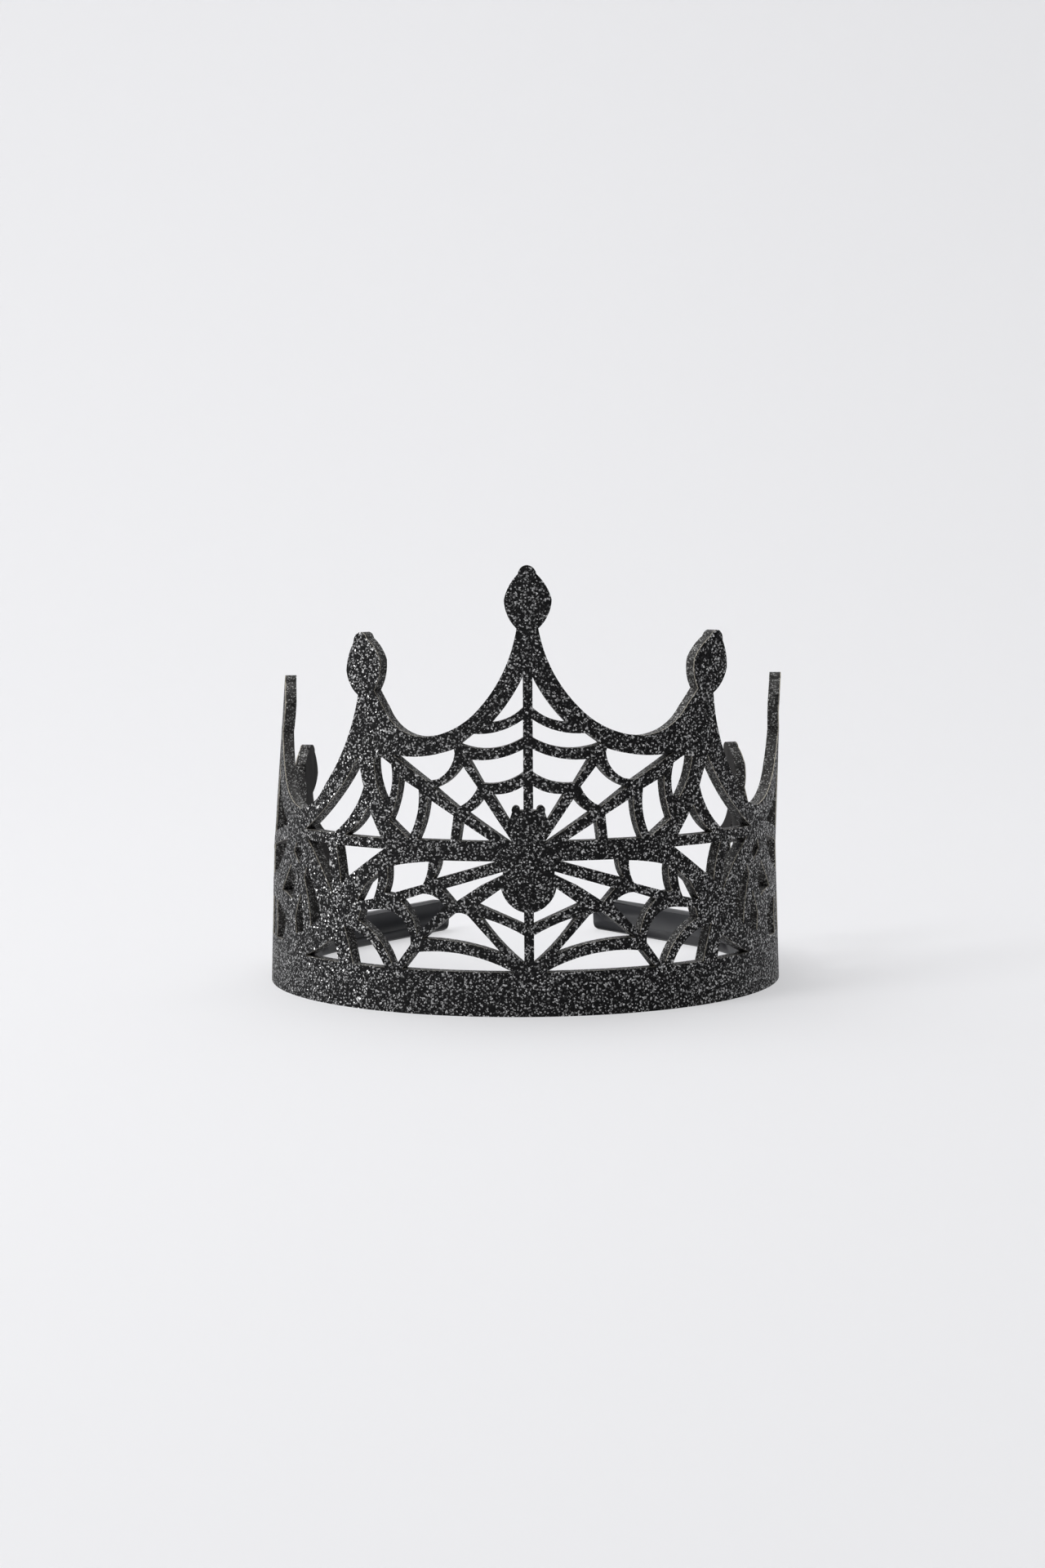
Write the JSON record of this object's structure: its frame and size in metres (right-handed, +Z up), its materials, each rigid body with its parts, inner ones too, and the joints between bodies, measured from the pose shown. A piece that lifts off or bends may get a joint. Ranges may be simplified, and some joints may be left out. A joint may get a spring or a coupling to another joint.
{
  "type": "spider web crown",
  "caption": "Open crown of glitter foam cut as a spider web with teardrop tips, bent round a fabric-covered headband.",
  "frame": {"origin": "on the floor under the centre of the whole crown's box", "axes": "+X to the right seen from the front, +Y from the front of the crown to its open back, +Z up"},
  "size_m": [0.155, 0.1764, 0.1267],
  "materials": {
    "glitter_foam": "black foam sheet with a glitter face",
    "ribbon": "smooth woven ribbon, soft sheen",
    "core_strip": "plain moulded strip"
  },
  "bodies": {
    "root": {"crown_sheet": "glitter_foam", "headband_cover": "ribbon", "headband_core": "core_strip"}
  },
  "joints": []
}
